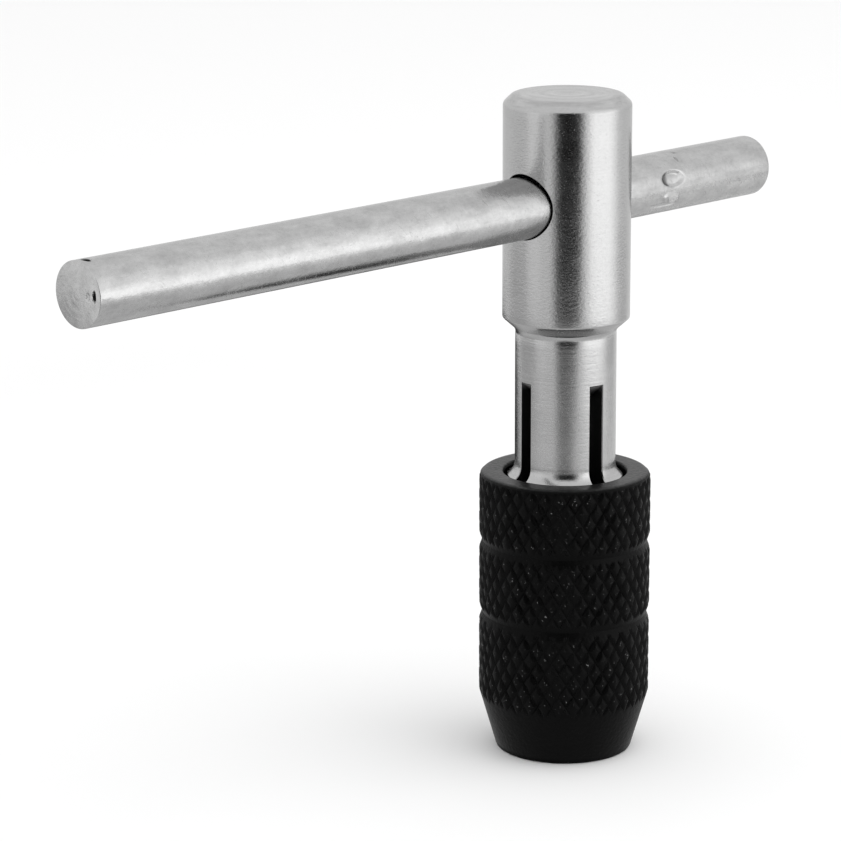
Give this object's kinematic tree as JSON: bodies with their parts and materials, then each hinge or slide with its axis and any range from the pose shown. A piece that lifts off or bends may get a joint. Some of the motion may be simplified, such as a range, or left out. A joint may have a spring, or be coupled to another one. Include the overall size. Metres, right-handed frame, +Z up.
{
  "type": "tap wrench",
  "caption": "T-handle tap wrench with a sliding cross bar, a slotted spindle that ends in spring jaws, and a knurled chuck sleeve that closes them on a tap's square.",
  "frame": {"origin": "on the spindle's axis, in the plane of the chuck sleeve's mouth", "axes": "+Z up along the spindle towards its head, +X along the sliding cross bar"},
  "size_m": [0.0933, 0.0178, 0.0696],
  "materials": {
    "plated_steel": "bright plated steel, satin, with fine turning marks",
    "black_oxide_steel": "black-oxidised steel, matt, knurled"
  },
  "bodies": {
    "spindle": {"spindle": "plated_steel"},
    "jaw_1": {"jaw_1": "plated_steel"},
    "jaw_2": {"jaw_2": "plated_steel"},
    "jaw_3": {"jaw_3": "plated_steel"},
    "jaw_4": {"jaw_4": "plated_steel"},
    "chuck_sleeve": {"chuck_sleeve": "black_oxide_steel"},
    "t_bar": {"t_bar": "plated_steel"}
  },
  "joints": [
    {"name": "sleeve_feed", "type": "slide", "parent": "spindle", "child": "chuck_sleeve", "axis": [0, 0, 1], "range_m": [0, 0.0027]},
    {"name": "bar_slide", "type": "slide", "parent": "spindle", "child": "t_bar", "axis": [1, 0, 0], "range_m": [-0.0062, 0.057]},
    {"name": "jaw_1_flex", "type": "hinge", "parent": "spindle", "child": "jaw_1", "pos_m": [0.0034, 0.00247, 0.04], "axis": [-0.5878, 0.809, 0], "range_deg": [0, 1.6]},
    {"name": "jaw_2_flex", "type": "hinge", "parent": "spindle", "child": "jaw_2", "pos_m": [-0.00247, 0.0034, 0.04], "axis": [-0.809, -0.5878, 0], "range_deg": [0, 1.6]},
    {"name": "jaw_3_flex", "type": "hinge", "parent": "spindle", "child": "jaw_3", "pos_m": [-0.0034, -0.00247, 0.04], "axis": [0.5878, -0.809, 0], "range_deg": [0, 1.6]},
    {"name": "jaw_4_flex", "type": "hinge", "parent": "spindle", "child": "jaw_4", "pos_m": [0.00247, -0.0034, 0.04], "axis": [0.809, 0.5878, 0], "range_deg": [0, 1.6]}
  ],
  "couplings": [
    {"joint": "jaw_1_flex", "follows": "sleeve_feed", "rad_per_m": 10.3},
    {"joint": "jaw_2_flex", "follows": "sleeve_feed", "rad_per_m": 10.3},
    {"joint": "jaw_3_flex", "follows": "sleeve_feed", "rad_per_m": 10.3},
    {"joint": "jaw_4_flex", "follows": "sleeve_feed", "rad_per_m": 10.3}
  ]
}
